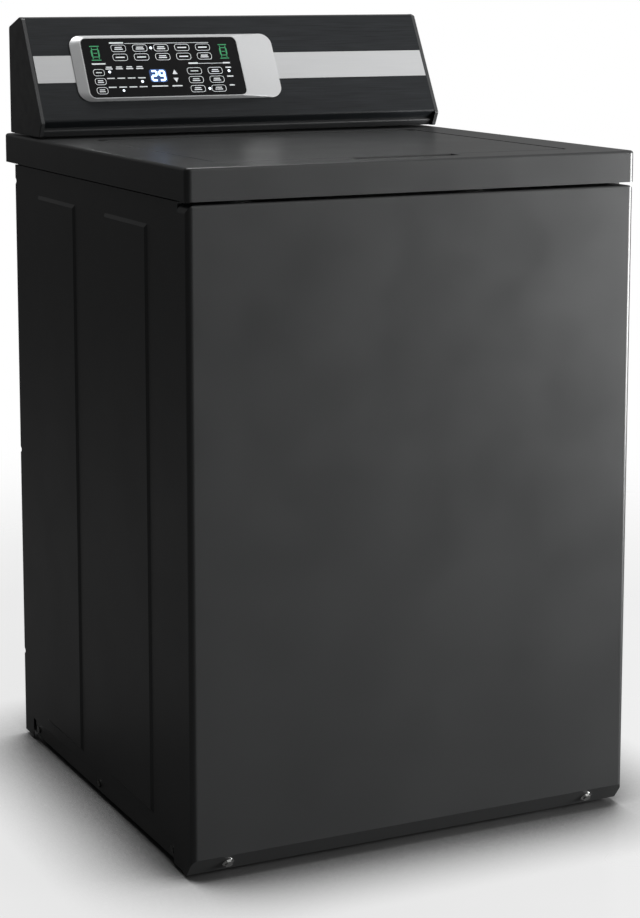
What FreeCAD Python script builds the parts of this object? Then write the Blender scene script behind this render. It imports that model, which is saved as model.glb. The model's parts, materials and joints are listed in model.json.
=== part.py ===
"""Top load washing machine: cabinet, lid, console, suspended tub, basket, agitator and drive.

Every shape is made with the front face at Y = 0 and moved at export, so that the origin is under the
middle of the machine: +Z up, the front faces -Y, the floor is Z = 0. Sizes are millimetres.
"""

import FreeCAD, Part

import math
import os

Vector = FreeCAD.Vector
X_AXIS, Y_AXIS, Z_AXIS = Vector(1, 0, 0), Vector(0, 1, 0), Vector(0, 0, 1)

# Overall sizes.
WIDTH = 651.0
DEPTH = 711.0
HEIGHT = 1086.0
HALF_WIDTH = WIDTH / 2
SHEET = 1.2
TOP_SHEET = 1.5

# Cabinet.
CABINET_DEPTH = 659.0
PANEL_BOTTOM = 6.0
SIDE_X = 323.0
SIDE_TOP = 870.0
SIDE_FRONT = 34.0
FOLD_Z = 34.0
STRIP_BOTTOM = 10.0
STRIP_TUCK = 3.0
POST_FRONT, POST_REAR = 66.0, 622.0
RIB_RISE = HALF_WIDTH - SIDE_X
RIB_BEVEL = 5.0
RIB_WIDTH = 153.0
RIB_STARTS = (135.0, 403.0)
RIB_Z = (50.0, 833.0)
NOTCH_HEIGHTS = (130.0, 442.0, 846.0)

# Front panel.
FRONT_X = 324.5
FRONT_TOP = 868.0
FRONT_FLANGE = 32.0
BEVEL_BACK, BEVEL_TOP = 19.5, 31.0
FRONT_SCREW_X = 271.0

# Base frame and feet.
BASE_X, BASE_FRONT, BASE_REAR = 318.0, 36.0, 655.0
BASE_PLATE_Z = 28.0
BASE_SHEET = 2.0
WINDOW = (-250.0, 215.0, 250.0, 590.0)
WINDOW_R = 28.0
FOOT_X, FOOT_FRONT, FOOT_REAR = 285.0, 75.0, 616.0
STUD_R = 5.0
STUD_GAP = 0.1

# Cabinet top and its lid recess.
TOP_Z = 914.0
TOP_DEPTH = 700.0
SKIRT = 42.0
CORNER_R = 8.0
RECESS = (-258.5, 59.5, 258.5, 508.0)
RECESS_R = 12.0
LEDGE_Z = 894.5
MOUTH = (-222.0, 92.0, 222.0, 468.0)
MOUTH_R = 110.0
MOUTH_FLANGE_Z = 868.0
SCOOP_HALF = 76.0
SCOOP_FRONT, SCOOP_FOOT, SCOOP_Z = 34.0, 44.0, 896.0

# Lid and hinge.
LID = (-256.0, 62.0, 256.0, 505.0)
LID_SKIRT_Z = 902.5
LINER_Z = 901.0
HINGE_Y, HINGE_Z = 496.0, 905.0
HEM_Y = 493.0
HEM_R = 8.9
NOTCH_X, NOTCH_Y = 242.0, 484.5
PIN_R = 3.0
PIN_GAP = 0.06
EAR_X0, EAR_X1 = 247.0, 253.0
DISH = (-205.0, 108.0, 205.0, 452.0)
DISH_R = 95.0
DISH_Z = 890.0

# Lid lock.
LOCK_Y = 203.0
STRIKE_X0, STRIKE_X1 = 234.5, 239.5
BOLT_Z = 881.0
BOLT_HALF = 4.0
BOLT_X0, BOLT_X1 = 246.0, 288.0

# Bleach dispenser, in the left front corner of the recess.
DISPENSER = (-224.0, 94.0)

# Console: the sloping face starts at (FACE_Y, FACE_Z) and rises at FACE_ANGLE.
CONSOLE_X = 317.0
CAP_X = 323.0
CONSOLE_BACK = 675.5
CONSOLE_FOOT = 916.5
FACE_Y, FACE_Z = 540.2, 938.9
FACE_LENGTH = 166.1
FACE_ANGLE = 61.1
FASCIA = 1.4
BEZEL = (-258.0, 30.0, 64.5, 136.0)
BEZEL_R = 18.0
GLASS = (-242.5, 33.0, 4.5, 129.0)
GLASS_R = 9.0
BEZEL_EDGE, BEZEL_RISE = 1.5, 6.5
STRIPE_LOW, STRIPE_HIGH = 61.0, 104.5

# Tub group, about a vertical axis.
AXIS_Y = 325.0
TUB_R = 276.0
TUB_WALL = 3.0
TUB_FLOOR, TUB_RIM = 215.0, 785.0
RING_BORE = 222.0
RING_TOP = 800.0
BASKET_R = 247.0
BASKET_FLOOR, BASKET_RIM = 270.0, 760.0
SEAM_Z, SEAM_GAP = 296.0, 0.05
BALANCE_TOP = 775.0
SPIN_TUBE_R = 20.0
SHAFT_R = 12.0
RUNNING_GAP = 0.06
ROD_X, ROD_Y = 282.0, 250.0
ROD_R = 4.0
BRACKET_Z = 849.0
CUP_Z = 170.0
LUG_Z = 330.0
SPRING_R, SPRING_WIRE = 18.0, 2.2
SPRING_TURNS = 8
WIRE_SIDES = 12
SUMP_X, SUMP_Y = 110.0, 150.0
MOTOR_X = -175.0
MOTOR_R = 62.0
MOTOR_LOW, MOTOR_HIGH = 118.0, 200.0
FRAME_Z = 207.0
PULLEY_R, MOTOR_PULLEY_R = 115.0, 20.0
BELT_Z0, BELT_Z1 = 98.0, 110.0
BELT_THICK = 5.0
BELT_GAP = 0.3
AGITATOR_FLOOR = 276.0
AGITATOR_TOP = 700.0
AUGER_Z = 520.0
BLADES = 4

# Water connections on the back.
VALVE_Z = 815.0
NOZZLE_Z = 881.0
PORTS_X = (-215.0, -145.0)
PORT_R = 13.2
PORT_Y0, PORT_Y1 = 668.0, 692.0
DRAIN_X, DRAIN_Z = 262.0, 110.0
DRAIN_R = 14.5
DRAIN_Y0 = 667.0
CORD_X, CORD_Z = -262.0, 740.0
CORD_BORE_R = 5.0
PUMP_TOP, PUMP_Z = 96.0, 78.0
HOSE_R = 14.0

parts = {}


# ---------------------------------------------------------------- shape helpers


def outline(points, place):
    """Closed wire through corners (a, b) or (a, b, radius); place turns (a, b) into a Vector."""
    corners = []
    for i, point in enumerate(points):
        here = Vector(point[0], point[1], 0)
        radius = point[2] if len(point) > 2 else 0.0
        if not radius:
            corners.append((here, None, here))
            continue
        before = (Vector(*points[i - 1][:2], 0) - here).normalize()
        after = (Vector(*points[(i + 1) % len(points)][:2], 0) - here).normalize()
        half = before.getAngle(after) / 2
        inward = (before + after).normalize()
        setback = radius / math.tan(half)
        middle = here + inward * (radius / math.sin(half) - radius)
        corners.append((here + before * setback, middle, here + after * setback))
    edges = []
    for i, (start, middle, end) in enumerate(corners):
        if middle is not None:
            edges.append(Part.Arc(*(place(p.x, p.y) for p in (start, middle, end))).toShape())
        following = corners[(i + 1) % len(corners)][0]
        if end.distanceToPoint(following) > 1e-6:
            edges.append(Part.makeLine(place(end.x, end.y), place(following.x, following.y)))
    return Part.Wire(edges)


def plate(points, z0, z1):
    """Outline in X and Y, extruded up from z0 to z1."""
    return Part.Face(outline(points, lambda a, b: Vector(a, b, z0))).extrude(Vector(0, 0, z1 - z0))


def bar_x(points, x0, x1):
    """Outline in Y and Z, extruded along X."""
    return Part.Face(outline(points, lambda a, b: Vector(x0, a, b))).extrude(Vector(x1 - x0, 0, 0))


def bar_y(points, y0, y1):
    """Outline in X and Z, extruded along Y."""
    return Part.Face(outline(points, lambda a, b: Vector(a, y0, b))).extrude(Vector(0, y1 - y0, 0))


def turned(points, x=0.0, y=AXIS_Y):
    """Outline in radius and height, turned about the vertical line through (x, y)."""
    face = Part.Face(outline(points, lambda a, b: Vector(x + a, y, b)))
    return face.revolve(Vector(x, y, 0), Z_AXIS, 360)


def rectangle(box, radius=0.0, grow=0.0):
    """Corner list of a rectangle (x0, y0, x1, y1) with one corner radius, grown outwards."""
    x0, y0, x1, y1 = box[0] - grow, box[1] - grow, box[2] + grow, box[3] + grow
    r = max(radius + grow, 0.0) if radius else 0.0
    return [(x0, y0, r), (x1, y0, r), (x1, y1, r), (x0, y1, r)]


def block(x0, y0, z0, x1, y1, z1):
    return Part.makeBox(x1 - x0, y1 - y0, z1 - z0, Vector(x0, y0, z0))


def rod(radius, start, end):
    start, end = Vector(*start), Vector(*end)
    return Part.makeCylinder(radius, start.distanceToPoint(end), start, end - start)


def pipe(outer, inner, start, end):
    return rod(outer, start, end).cut(rod(inner, start, end))


def mirrored(shape):
    return shape.mirror(Vector(0, 0, 0), X_AXIS)


def both_sides(shape):
    return [shape, mirrored(shape)]


def fused(*shapes):
    return shapes[0].multiFuse(list(shapes[1:])).removeSplitter()


def rounded(shape, radius, chosen):
    """Fillets the edges whose bounding box chosen() accepts."""
    edges = [e for e in shape.Edges if chosen(e.BoundBox)]
    return shape.makeFillet(radius, edges)


def on_face(shape):
    """From console face coordinates (across, up the slope, out of the face) to the machine."""
    placed = shape.copy()
    placed.rotate(Vector(0, 0, 0), X_AXIS, FACE_ANGLE)
    placed.translate(Vector(0, FACE_Y, FACE_Z))
    return placed


def hose(points, radius, bore):
    """Tube along straight runs joined by tangent arcs as large as the runs allow."""
    route = [Vector(*p) for p in points]
    edges, last = [], route[0]
    for before, here, after in zip(route, route[1:], route[2:]):
        back, ahead = before - here, after - here
        shorter = min(back.Length, ahead.Length)
        back.normalize()
        ahead.normalize()
        half = back.getAngle(ahead) / 2
        setback = 0.45 * shorter
        bend = setback * math.tan(half)
        inward = (back + ahead).normalize()
        start, end = here + back * setback, here + ahead * setback
        middle = here + inward * (bend / math.sin(half) - bend)
        edges += [Part.makeLine(last, start), Part.Arc(start, middle, end).toShape()]
        last = end
    edges.append(Part.makeLine(last, route[-1]))
    spine = Part.Wire(edges)
    tubes = []
    for r in (radius, bore):
        ring = Part.Wire([Part.makeCircle(r, route[0], route[1] - route[0])])
        tubes.append(spine.makePipeShell([ring], True, False))
    return tubes[0].cut(tubes[1])


def keep(name, *solids):
    """Files one node, as one solid or a group of separate solids."""
    shape = solids[0] if len(solids) == 1 else Part.makeCompound(list(solids))
    parts[name] = shape


# ---------------------------------------------------------------- base and feet


def foot_places():
    for side, x in (("left", -FOOT_X), ("right", FOOT_X)):
        for end, y in (("front", FOOT_FRONT), ("rear", FOOT_REAR)):
            yield f"{end}_{side}", x, y


def bevel_point(share, inset):
    """Point (y, z) on the front panel's lower bevel, moved inwards by inset."""
    drop = BEVEL_TOP - PANEL_BOTTOM
    length = math.hypot(BEVEL_BACK, drop)
    y = BEVEL_BACK * share + inset * drop / length
    z = BEVEL_TOP - drop * share + inset * BEVEL_BACK / length
    return y, z


def bevel_corners(inset):
    """Lower and upper corner of the bevel on a line offset inwards by inset."""
    drop = BEVEL_TOP - PANEL_BOTTOM
    length = math.hypot(BEVEL_BACK, drop)
    upper = inset * (1 - drop / length) / BEVEL_BACK
    lower = 1 - inset * (1 - BEVEL_BACK / length) / drop
    return bevel_point(lower, inset), bevel_point(upper, inset)


def front_screw(x):
    """Hex washer head screw square to the lower bevel: head and shank as one solid."""
    head = bevel_point(0.5, 0)
    tip = bevel_point(0.5, 16)
    crown = bevel_point(0.5, -4.5)
    washer = bevel_point(0.5, -1.2)
    direction = Vector(0, crown[0] - head[0], crown[1] - head[1])
    hexagon = Part.Face(Part.makePolygon([
        Vector(5.5 * math.cos(math.radians(a)), 5.5 * math.sin(math.radians(a)), 0)
        for a in range(0, 361, 60)
    ])).extrude(Vector(0, 0, 4.5))
    hexagon.Placement = FreeCAD.Placement(
        Vector(x, *head), FreeCAD.Rotation(Z_AXIS, direction)
    )
    disc = rod(8.0, (x, *head), (x, *washer))
    shank = rod(2.4, (x, *head), (x, *tip))
    return fused(hexagon, disc, shank)


def side_screw(y, z=22.0):
    """Pan head screw through the side strip into the base flange."""
    head = rod(5.5, (-SIDE_X - 0.6, y, z), (-320.4, y, z))
    shank = rod(2.2, (-320.4, y, z), (-312.0, y, z))
    return fused(head, shank)


def make_base():
    inner = (-BASE_X + BASE_SHEET, BASE_FRONT + BASE_SHEET, BASE_X - BASE_SHEET, BASE_REAR - BASE_SHEET)
    outer = (-BASE_X, BASE_FRONT, BASE_X, BASE_REAR)
    tray = plate(rectangle(outer, 6), STRIP_BOTTOM, BASE_PLATE_Z + BASE_SHEET)
    tray = tray.cut(plate(rectangle(inner, 4), STRIP_BOTTOM - 1, BASE_PLATE_Z))
    tray = tray.cut(plate(rectangle(WINDOW, WINDOW_R), BASE_PLATE_Z - 1, BASE_PLATE_Z + 3))
    rim = plate(rectangle(WINDOW, WINDOW_R, BASE_SHEET), BASE_PLATE_Z, BASE_PLATE_Z + 12)
    rim = rim.cut(plate(rectangle(WINDOW, WINDOW_R), BASE_PLATE_Z - 1, BASE_PLATE_Z + 13))
    lug_points = [bevel_point(0.25, SHEET), bevel_point(0.75, SHEET)]
    lug_points += [(BASE_FRONT + 1, lug_points[1][1]), (BASE_FRONT + 1, lug_points[0][1])]
    lugs = [bar_x(lug_points, x - 14, x + 14) for x in (-FRONT_SCREW_X, FRONT_SCREW_X)]
    collars = [rod(12, (x, y, BASE_PLATE_Z), (x, y, BASE_PLATE_Z + 14)) for _, x, y in foot_places()]
    base = fused(tray, rim, *lugs, *collars)
    for _, x, y in foot_places():
        base = base.cut(rod(STUD_R + STUD_GAP, (x, y, 0), (x, y, 60)))
    screws = [front_screw(x) for x in (-FRONT_SCREW_X, FRONT_SCREW_X)]
    keep("front_panel_screws", *screws)
    side = [side_screw(y) for y in (72.0, 343.0, 601.0)]
    side += [mirrored(s) for s in side]
    rear = [rear_screw(x, z) for x in (-311.0, 311.0) for z in NOTCH_HEIGHTS]
    keep("cabinet_screws", *side, *rear)
    keep("base_frame", base.cut(Part.makeCompound(screws + side)))


def rear_screw(x, z):
    """Screw that holds the rear panel to a side panel's rear flange."""
    y = CABINET_DEPTH
    head = rod(5.0, (x, y + SHEET, z), (x, y + SHEET + 2.6, z))
    shank = rod(2.0, (x, y - 8, z), (x, y + SHEET, z))
    return fused(head, shank)


def make_feet():
    nuts = []
    for name, x, y in foot_places():
        pad = turned([(0, 0), (19, 0, 2), (19, 6, 2), (13, 11), (0, 11)], x, y)
        collar = rod(8.5, (x, y, 11), (x, y, 15))
        stud = rod(STUD_R, (x, y, 15), (x, y, 62))
        keep(f"foot_{name}", fused(pad, collar, stud))
        nut = plate([
            (x + 9 * math.cos(math.radians(a)), y + 9 * math.sin(math.radians(a)))
            for a in range(0, 360, 60)
        ], 21.5, BASE_PLATE_Z)
        nuts.append(nut.cut(rod(STUD_R + STUD_GAP, (x, y, 20), (x, y, 30))))
    keep("foot_lock_nuts", *nuts)


# ---------------------------------------------------------------- cabinet panels


def frustum(y0, y1, shift):
    """One raised rib of the left side panel: a flat field with bevelled edges."""
    z0, z1 = RIB_Z
    wires = []
    for x, inset in ((-SIDE_X + shift, 0.0), (-SIDE_X - RIB_RISE + shift, RIB_BEVEL)):
        corners = [(y0 + inset, z0 + inset), (y1 - inset, z0 + inset),
                   (y1 - inset, z1 - inset), (y0 + inset, z1 - inset)]
        wires.append(outline(corners, lambda a, b, x=x: Vector(x, a, b)))
    return Part.makeLoft(wires, True, True)


def make_side():
    inner = -SIDE_X + SHEET
    skin = block(-SIDE_X, SIDE_FRONT, FOLD_Z, inner, CABINET_DEPTH, SIDE_TOP)
    posts = [
        block(-SIDE_X, SIDE_FRONT, PANEL_BOTTOM, inner, POST_FRONT, FOLD_Z),
        block(-SIDE_X, POST_REAR, PANEL_BOTTOM, inner, CABINET_DEPTH, FOLD_Z),
    ]
    flanges = [
        block(inner, SIDE_FRONT, PANEL_BOTTOM, -306, SIDE_FRONT + SHEET, SIDE_TOP),
        block(inner, CABINET_DEPTH - SHEET, PANEL_BOTTOM, -303, CABINET_DEPTH, SIDE_TOP),
        block(inner, SIDE_FRONT, SIDE_TOP - SHEET, -311, CABINET_DEPTH, SIDE_TOP),
    ]
    strip = bar_y([
        (-SIDE_X, FOLD_Z), (-SIDE_X + STRIP_TUCK, STRIP_BOTTOM),
        (inner + STRIP_TUCK, STRIP_BOTTOM), (inner, FOLD_Z),
    ], POST_FRONT, 612.0)
    shell = fused(skin, *posts, *flanges, strip)
    shell = shell.fuse([frustum(y, y + RIB_WIDTH, 0.0) for y in RIB_STARTS])
    shell = shell.cut([frustum(y, y + RIB_WIDTH, SHEET) for y in RIB_STARTS])
    back = CABINET_DEPTH + 0.1
    for z in NOTCH_HEIGHTS:
        notch = bar_x([(back, z - 5), (back, z + 5), (back - 4, z + 1.5), (back - 4, z - 1.5)],
                      -SIDE_X - 1, -SIDE_X + 4)
        shell = shell.cut(notch)
    left = shell.cut(parts["cabinet_screws"])
    keep("left_side_panel", left)
    keep("right_side_panel", mirrored(left))


def front_profile(inset, back):
    """Side view of the front panel's pan, inset from its outer skin."""
    low, top = bevel_corners(inset)
    return [low, top, (inset, FRONT_TOP - inset, 3.0 - inset), (back, FRONT_TOP - inset), (back, low[1])]


def make_front():
    outer = bar_x(front_profile(0.0, FRONT_FLANGE), -FRONT_X, FRONT_X)
    corners = plate([(-FRONT_X, 0, CORNER_R), (FRONT_X, 0, CORNER_R), (FRONT_X, 50), (-FRONT_X, 50)], 0, 900)
    face = bar_y([(-FRONT_X, 0), (FRONT_X, 0), (FRONT_X, FRONT_TOP, 11), (-FRONT_X, FRONT_TOP, 11)], -1, 60)
    outer = outer.common(corners).common(face)
    inner_x = FRONT_X - SHEET
    inner = bar_x(front_profile(SHEET, FRONT_FLANGE + 1), -inner_x, inner_x)
    hollow = plate([(-inner_x, SHEET, CORNER_R - SHEET), (inner_x, SHEET, CORNER_R - SHEET),
                    (inner_x, 50), (-inner_x, 50)], 0, 900)
    hollow_face = bar_y([(-inner_x, 0), (inner_x, 0), (inner_x, FRONT_TOP - SHEET, 10),
                         (-inner_x, FRONT_TOP - SHEET, 10)], -1, 60)
    panel = outer.cut(inner.common(hollow).common(hollow_face))
    keep("front_panel", panel.cut(parts["front_panel_screws"]))


def make_rear():
    y0, y1 = CABINET_DEPTH, CABINET_DEPTH + SHEET
    sheet = block(-318, y0, 30, 318, y1, 866)
    rise = 3.0
    fields = []
    for x0, x1, z0, z1 in ((-230, 230, 480, 700), (-230, 230, 210, 430)):
        for depth, keep_it in ((0.0, True), (-SHEET, False)):
            wires = [
                outline(rectangle((x0, z0, x1, z1), 14 + i, -i), lambda a, b, y=y: Vector(a, y, b))
                for y, i in ((y1 + depth, 0.0), (y1 + depth + rise, 7.0))
            ]
            fields.append((Part.makeLoft(wires, True, True), keep_it))
    panel = sheet.fuse([f for f, wanted in fields if wanted])
    panel = panel.cut([f for f, wanted in fields if not wanted])
    slots = [
        bar_y(rectangle((x - 32, z - 3, x + 32, z + 3), 2.9), y0 - 1, y1 + 5)
        for x in (-150.0, 0.0, 150.0) for z in range(70, 171, 20)
    ]
    holes = [rod(17.5, (x, y0 - 1, VALVE_Z), (x, y1 + 1, VALVE_Z)) for x in PORTS_X]
    holes.append(rod(18.0, (DRAIN_X, y0 - 1, DRAIN_Z), (DRAIN_X, y1 + 1, DRAIN_Z)))
    holes.append(rod(9.0, (CORD_X, y0 - 1, CORD_Z), (CORD_X, y1 + 1, CORD_Z)))
    keep("rear_panel", panel.cut(slots + holes + [parts["cabinet_screws"]]))
    bush = turned([(CORD_BORE_R, 0), (12.5, 0, 1), (12.5, 5), (9.0, 5), (9.0, 5 + SHEET), (12.0, 5 + SHEET),
                   (11.0, 16, 1), (CORD_BORE_R, 16)], 0, 0)
    bush.rotate(Vector(0, 0, 0), X_AXIS, -90)
    bush.translate(Vector(CORD_X, y0 - 5, CORD_Z))
    keep("cord_bush", bush)


def make_corner_brackets():
    brackets, rods = [], []
    for x in (-ROD_X, ROD_X):
        for y in (AXIS_Y - ROD_Y, AXIS_Y + ROD_Y):
            side = math.copysign(1, x)
            wall = SIDE_FRONT + SHEET if y < AXIS_Y else CABINET_DEPTH - SHEET
            into = 1 if y < AXIS_Y else -1
            gusset = plate([
                (side * 321.8, wall), (side * 321.8, wall + into * 125, 4),
                (side * 285, wall + into * 125, 20), (side * 230, wall + into * 26, 12),
                (side * 230, wall, 4),
            ], BRACKET_Z, BRACKET_Z + 3)
            seat = rod(17, (x, y, BRACKET_Z - 4), (x, y, BRACKET_Z + 7))
            bracket = fused(gusset, seat).cut(rod(ROD_R + 3, (x, y, 0), (x, y, 900)))
            brackets.append(bracket)
            ball = turned([
                (0, BRACKET_Z + 7), (13, BRACKET_Z + 7), (12, BRACKET_Z + 13, 4), (0, BRACKET_Z + 18),
            ], x, y)
            shank = rod(ROD_R, (x, y, CUP_Z - 12), (x, y, BRACKET_Z + 8))
            cup = turned([(0, CUP_Z - 12), (12, CUP_Z - 12), (25, CUP_Z), (25, CUP_Z + 6), (23, CUP_Z + 6),
                          (23, CUP_Z + 1), (0, CUP_Z + 1)], x, y)
            rods.append(fused(ball, shank, cup))
    keep("suspension_brackets", *brackets)
    keep("suspension_rods", *rods)


def wire_section(angle, pitch):
    """Twelve sided section of the spring wire, square to the coil at this angle in degrees."""
    a = math.radians(angle)
    outwards = Vector(math.cos(a), math.sin(a), 0)
    along = Vector(-SPRING_R * math.sin(a), SPRING_R * math.cos(a), pitch / (2 * math.pi))
    corners = [Vector(SPRING_WIRE, 0, 0)]
    for i in range(1, WIRE_SIDES + 1):
        turn = 2 * math.pi * i / WIRE_SIDES
        corners.append(Vector(SPRING_WIRE * math.cos(turn), SPRING_WIRE * math.sin(turn), 0))
    corners[-1] = corners[0]
    section = Part.makePolygon(corners)
    section.Placement = FreeCAD.Placement(
        outwards * SPRING_R + Vector(0, 0, pitch * angle / 360),
        FreeCAD.Rotation(outwards, Vector(0, 0, 0), along, "ZXY"),
    )
    return section


def make_springs():
    springs, halves = [], []
    low, high = CUP_Z + 1 + SPRING_WIRE, LUG_Z - 12 - SPRING_WIRE - 0.2
    pitch = (high - low) / SPRING_TURNS
    half_turn = Part.makeLoft([wire_section(22.5 * i, pitch) for i in range(9)], True, False)
    for i in range(2 * SPRING_TURNS):
        half = half_turn.copy()
        half.rotate(Vector(0, 0, 0), Z_AXIS, 180 * i)
        half.translate(Vector(0, 0, pitch * i / 2))
        halves.append(half)
    coil = halves[0].multiFuse(halves[1:])
    for x in (-ROD_X, ROD_X):
        for y in (AXIS_Y - ROD_Y, AXIS_Y + ROD_Y):
            spring = coil.copy()
            spring.translate(Vector(x, y, low))
            springs.append(spring)
    keep("suspension_springs", *springs)


# ---------------------------------------------------------------- cabinet top


def make_top():
    skirt_z = TOP_Z - SKIRT
    outer = plate(rectangle((-HALF_WIDTH, 0, HALF_WIDTH, TOP_DEPTH), CORNER_R), skirt_z, TOP_Z)
    outer = rounded(outer, 4.0, lambda b: b.ZMin > TOP_Z - 0.01)
    t = TOP_SHEET
    hollow = plate(rectangle((-HALF_WIDTH, 0, HALF_WIDTH, TOP_DEPTH), CORNER_R, -t), skirt_z - 1, TOP_Z - t)
    hollow = rounded(hollow, 2.5, lambda b: b.ZMin > TOP_Z - t - 0.01)
    shell = outer.cut(hollow)
    tray = plate(rectangle(RECESS, RECESS_R, t), LEDGE_Z - t, TOP_Z - t)
    mouth_flange = plate(rectangle(MOUTH, MOUTH_R, t), MOUTH_FLANGE_Z, LEDGE_Z - t)
    scoop = bar_x([(SCOOP_FRONT - t, TOP_Z - t), (SCOOP_FOOT - t, SCOOP_Z - t), (RECESS[1], SCOOP_Z - t),
                   (RECESS[1], TOP_Z - t)], -SCOOP_HALF - t, SCOOP_HALF + t)
    top = fused(shell, tray, mouth_flange, scoop)
    cuts = [
        plate(rectangle(RECESS, RECESS_R), LEDGE_Z, TOP_Z + 1),
        plate(rectangle(MOUTH, MOUTH_R), MOUTH_FLANGE_Z - 1, LEDGE_Z + 1),
        bar_x([(SCOOP_FRONT - 1, TOP_Z + 1.8), (SCOOP_FOOT, SCOOP_Z), (RECESS[1] + 1, SCOOP_Z),
               (RECESS[1] + 1, TOP_Z + 1.8)], -SCOOP_HALF, SCOOP_HALF),
        block(STRIKE_X0 - 3, LOCK_Y - 16, LEDGE_Z - 5, STRIKE_X1 + 3, LOCK_Y + 14, LEDGE_Z + 1),
        rod(24.0, (*DISPENSER, 860), (*DISPENSER, LEDGE_Z + 1)),
    ]
    cuts += [rod(2.55, (x, y, LEDGE_Z - 8), (x, y, LEDGE_Z + 1)) for x, y in bumper_places()]
    top = top.cut(cuts)
    keep("cabinet_top", top)


def bumper_places():
    return [(x, y) for x in (-240.0, 240.0) for y in (150.0, 430.0)]


def make_top_fittings():
    bumpers = []
    for x, y in bumper_places():
        stem = rod(2.5, (x, y, LEDGE_Z - 8), (x, y, LEDGE_Z))
        bumpers.append(fused(stem, rod(7.0, (x, y, LEDGE_Z), (x, y, LINER_Z - 0.1))))
    keep("lid_bumpers", *bumpers)

    ear = fused(
        rod(6.0, (-EAR_X1, HINGE_Y, HINGE_Z), (-EAR_X0, HINGE_Y, HINGE_Z)),
        block(-EAR_X1, HINGE_Y - 6, LEDGE_Z, -EAR_X0, HINGE_Y + 6, HINGE_Z),
        block(-255.5, HINGE_Y - 7, LEDGE_Z, -243, HINGE_Y + 5, LEDGE_Z + 1.5),
    )
    ear = ear.cut(rod(PIN_R + PIN_GAP, (-260, HINGE_Y, HINGE_Z), (-240, HINGE_Y, HINGE_Z)))
    keep("hinge_brackets", *both_sides(ear))

    x, y = DISPENSER
    cup = turned([
        (0, 850), (15, 850), (24, 862), (24, LEDGE_Z), (29, LEDGE_Z),
        (29, LEDGE_Z + 1.5, 0.7), (0, LEDGE_Z + 1.5),
    ], x, y)
    chute = block(0, -10, 0, 100, 10, 16)
    chute = chute.cut(block(2, -8.5, 1.5, 101, 8.5, 17))
    chute.rotate(Vector(0, 0, 0), Y_AXIS, 14)
    chute.rotate(Vector(0, 0, 0), Z_AXIS, 44)
    chute.translate(Vector(x, y, 846))
    bowl = turned([(0, 851.5), (14, 851.5), (22.5, 863), (22.5, LEDGE_Z + 2), (0, LEDGE_Z + 2)], x, y)
    drip = rod(7.0, (x, y, 848), (x, y, 853))
    keep("bleach_dispenser", fused(cup, chute).cut([bowl, drip]))

    housing = block(226, LOCK_Y - 23, 858, 300, LOCK_Y + 23, LEDGE_Z - TOP_SHEET)
    slot = block(STRIKE_X0 - 3, LOCK_Y - 16, 862, STRIKE_X1 + 3, LOCK_Y + 14, 900)
    gap = BOLT_HALF + 0.3
    channel = block(231, LOCK_Y - gap, BOLT_Z - gap, 294, LOCK_Y + gap, BOLT_Z + gap)
    keep("lid_lock_housing", housing.cut([slot, channel]))
    half = BOLT_HALF
    bolt = block(BOLT_X0, LOCK_Y - half, BOLT_Z - half, BOLT_X1, LOCK_Y + half, BOLT_Z + half)
    keep("lid_lock_bolt", bolt.makeChamfer(1.0, [e for e in bolt.Edges if e.BoundBox.XMax < BOLT_X0 + 0.01]))


# ---------------------------------------------------------------- lid


def lid_outline(inset, rear):
    x0, y0, x1, _ = LID
    x, y = NOTCH_X - inset, NOTCH_Y - inset
    front_r = 10.0 - inset
    return [(x0 + inset, y0 + inset, front_r), (x1 - inset, y0 + inset, front_r), (x1 - inset, y),
            (x, y), (x, rear), (-x, rear), (-x, y), (x0 + inset, y)]


def make_lid():
    outer = plate(lid_outline(0.0, LID[3]), LID_SKIRT_Z, TOP_Z)
    outer = rounded(outer, HEM_R, lambda b: b.ZMin > TOP_Z - 0.01 and b.YMin > LID[3] - 0.01)
    outer = rounded(outer, 3.0, lambda b: b.ZMin > TOP_Z - 0.01 and b.YMax < LID[1] + 10.1
                    or b.ZMin > TOP_Z - 0.01 and b.XLength < 0.01 and abs(b.XMin) > 255.9)
    t = TOP_SHEET
    hollow = plate(lid_outline(t, HEM_Y), LID_SKIRT_Z - 1, TOP_Z - t)
    pins = [rod(PIN_R, (-255.5, HINGE_Y, HINGE_Z), (-222, HINGE_Y, HINGE_Z))]
    pins.append(mirrored(pins[0]))
    keep("hinge_pins", *pins)
    keep("lid_panel", outer.cut([hollow] + pins))

    liner = plate(lid_outline(0.6, HEM_Y), LINER_Z, LID_SKIRT_Z)

    def dish(top, bottom, shrink):
        wires = [outline(rectangle(DISH, DISH_R, grow), lambda a, b, z=z: Vector(a, b, z))
                 for z, grow in ((top, 6.0 - shrink), (bottom, -shrink))]
        return Part.makeLoft(wires, True, True)

    liner = liner.fuse(dish(LINER_Z, DISH_Z, 0.0)).cut(dish(LID_SKIRT_Z + 0.01, DISH_Z + t, t))
    keep("lid_liner", liner.removeSplitter())
    strike = block(STRIKE_X0, LOCK_Y - 10, BOLT_Z - 13, STRIKE_X1, LOCK_Y + 10, LINER_Z)
    strike = strike.cut(block(230, LOCK_Y - 5, BOLT_Z - 5, 250, LOCK_Y + 5, BOLT_Z + 5))
    foot = block(STRIKE_X0 - 6, LOCK_Y - 12, LINER_Z - 2, STRIKE_X1 + 6, LOCK_Y + 12, LINER_Z)
    keep("lid_strike", fused(strike, foot))


# ---------------------------------------------------------------- console


def console_outline(inset):
    """Side view (y, z) of the hood, inset by the sheet."""
    i = inset
    return [
        (556 + i, 917 + i), (549.5 + 1.6 * i, 925.0 + 0.2 * i, max(2.5 - i, 0.6)), (557.5 + i, 934.0),
        (544.6 + 1.35 * i, 941.4 + 0.6 * i), (621.9 + 0.6 * i, 1083.3 - 1.2 * i, max(3 - i, 0.8)),
        (629 - 0.1 * i, 1086 - 1.1 * i, 4), (CONSOLE_BACK - i, 1071.2 - 0.75 * i, 5 - i),
        (CONSOLE_BACK - i, 917 + i),
    ]


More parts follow.
